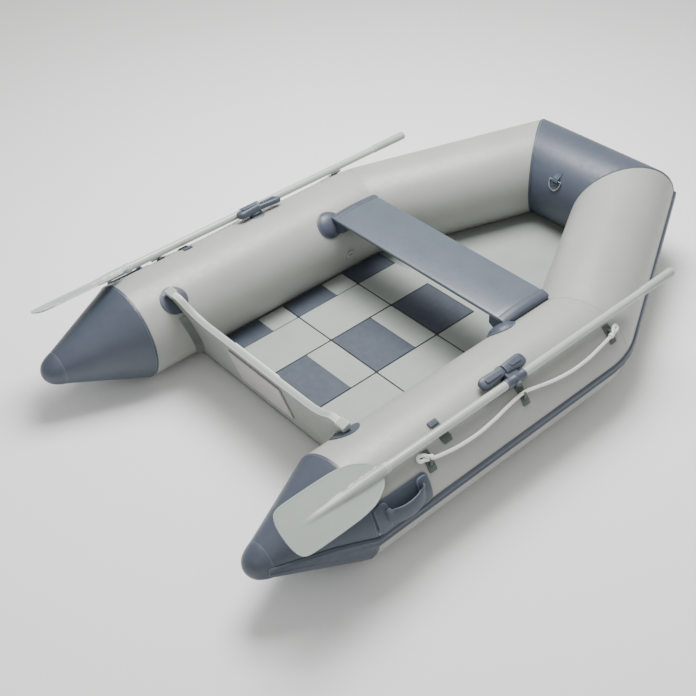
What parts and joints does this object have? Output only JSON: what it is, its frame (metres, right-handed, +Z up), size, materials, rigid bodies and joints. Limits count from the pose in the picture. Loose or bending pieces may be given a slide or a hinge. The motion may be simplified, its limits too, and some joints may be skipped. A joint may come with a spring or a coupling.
{
  "type": "inflatable dinghy",
  "caption": "Inflatable boat with air tubes ending in tail cones, a raised blunt bow, slatted floor, raked transom, bench seat, grab lines and oars stowed in swivelling rowlocks.",
  "frame": {"origin": "on the ground under the middle of the boat's bounding box, so the tubes rest on z = 0", "axes": "+X starboard, +Y towards the bow, +Z up"},
  "size_m": [1.5418, 2.3465, 0.4416],
  "materials": {
    "light_grey_coated_fabric": "satin",
    "blue_grey_coated_fabric": "satin",
    "blue_grey_rubber": "matte",
    "floor_fabric_light": "matte",
    "floor_fabric_dark": "matte",
    "painted_plywood": "satin",
    "motor_pad_plastic": "satin",
    "painted_seat_board": "satin",
    "grey_green_oar_plastic": "satin",
    "dark_webbing": "matte",
    "white_braided_rope": "matte",
    "stainless_steel": "satin",
    "light_grey_valve_plastic": "satin"
  },
  "bodies": {
    "hull": {"bottom_skin": "light_grey_coated_fabric", "bow_ring_strap": "blue_grey_rubber", "bow_rub_strake": "blue_grey_rubber", "bow_tube": "blue_grey_coated_fabric", "floor_slat_aft_centre": "floor_fabric_dark", "floor_slat_aft_port": "floor_fabric_light", "floor_slat_aft_starboard": "floor_fabric_light", "floor_slat_forward_centre": "floor_fabric_dark", "floor_slat_forward_port": "floor_fabric_light", "floor_slat_forward_starboard": "floor_fabric_light", "floor_slat_middle_centre": "floor_fabric_dark", "floor_slat_middle_port": "floor_fabric_light", "floor_slat_middle_starboard": "floor_fabric_light", "inner_motor_pad": "motor_pad_plastic", "outer_motor_pad": "motor_pad_plastic", "port_carry_handle": "blue_grey_rubber", "port_cone": "blue_grey_coated_fabric", "port_grab_line": "white_braided_rope", "port_line_patch_aft": "dark_webbing", "port_line_patch_forward": "dark_webbing", "port_line_patch_middle": "dark_webbing", "port_oar_holder": "dark_webbing", "port_rowlock_base": "blue_grey_rubber", "port_rub_strake": "blue_grey_rubber", "port_seat_mount": "blue_grey_rubber", "port_transom_holder": "dark_webbing", "port_transom_patch": "blue_grey_rubber", "port_tube": "light_grey_coated_fabric", "port_valve": "light_grey_valve_plastic", "starboard_carry_handle": "blue_grey_rubber", "starboard_cone": "blue_grey_coated_fabric", "starboard_grab_line": "white_braided_rope", "starboard_line_patch_aft": "dark_webbing", "starboard_line_patch_forward": "dark_webbing", "starboard_line_patch_middle": "dark_webbing", "starboard_oar_holder": "dark_webbing", "starboard_rowlock_base": "blue_grey_rubber", "starboard_rub_strake": "blue_grey_rubber", "starboard_seat_mount": "blue_grey_rubber", "starboard_transom_holder": "dark_webbing", "starboard_transom_patch": "blue_grey_rubber", "starboard_tube": "light_grey_coated_fabric", "starboard_valve": "light_grey_valve_plastic", "transom_board": "painted_plywood"},
    "seat": {"seat_board": "painted_seat_board"},
    "starboard_saddle": {"starboard_rowlock_saddle": "grey_green_oar_plastic"},
    "starboard_oar": {"starboard_rowlock_head": "blue_grey_rubber", "starboard_oar_collar": "blue_grey_rubber", "starboard_oar_shaft": "grey_green_oar_plastic", "starboard_oar_blade": "grey_green_oar_plastic", "starboard_oar_grip": "grey_green_oar_plastic"},
    "starboard_cap": {"starboard_valve_cap": "light_grey_valve_plastic"},
    "port_saddle": {"port_rowlock_saddle": "grey_green_oar_plastic"},
    "port_oar": {"port_rowlock_head": "blue_grey_rubber", "port_oar_collar": "blue_grey_rubber", "port_oar_shaft": "grey_green_oar_plastic", "port_oar_blade": "grey_green_oar_plastic", "port_oar_grip": "grey_green_oar_plastic"},
    "port_cap": {"port_valve_cap": "light_grey_valve_plastic"},
    "ring": {"bow_ring": "stainless_steel"}
  },
  "joints": [
    {"name": "starboard_tilt", "type": "hinge", "parent": "hull", "child": "starboard_saddle", "pos_m": [0.62753, -0.178, 0.3587], "axis": [0, -1, 0], "range_deg": [-5, 12]},
    {"name": "starboard_swing", "type": "hinge", "parent": "starboard_saddle", "child": "starboard_oar", "pos_m": [0.6246, -0.178, 0.35019], "axis": [0.3256, 0, 0.9455], "range_deg": [0, 140]},
    {"name": "starboard_valve_turn", "type": "hinge", "parent": "hull", "child": "starboard_cap", "pos_m": [0.38634, 0.073, 0.16901], "axis": [-0.9981, 0, -0.061], "range_deg": [0, 90]},
    {"name": "port_tilt", "type": "hinge", "parent": "hull", "child": "port_saddle", "pos_m": [-0.62753, -0.178, 0.3587], "axis": [0, 1, 0], "range_deg": [-5, 12]},
    {"name": "port_swing", "type": "hinge", "parent": "port_saddle", "child": "port_oar", "pos_m": [-0.6246, -0.178, 0.35019], "axis": [0.3256, 0, -0.9455], "range_deg": [0, 140]},
    {"name": "port_valve_turn", "type": "hinge", "parent": "hull", "child": "port_cap", "pos_m": [-0.38634, 0.073, 0.16901], "axis": [0.9981, 0, -0.061], "range_deg": [0, 90]},
    {"name": "seat_lift", "type": "slide", "parent": "hull", "child": "seat", "axis": [0, 0, 1], "range_m": [0, 0.25]},
    {"name": "bow_ring_swing", "type": "hinge", "parent": "hull", "child": "ring", "pos_m": [0, 0.8213, 0.35129], "axis": [-1, 0, 0], "range_deg": [0, 150]}
  ]
}
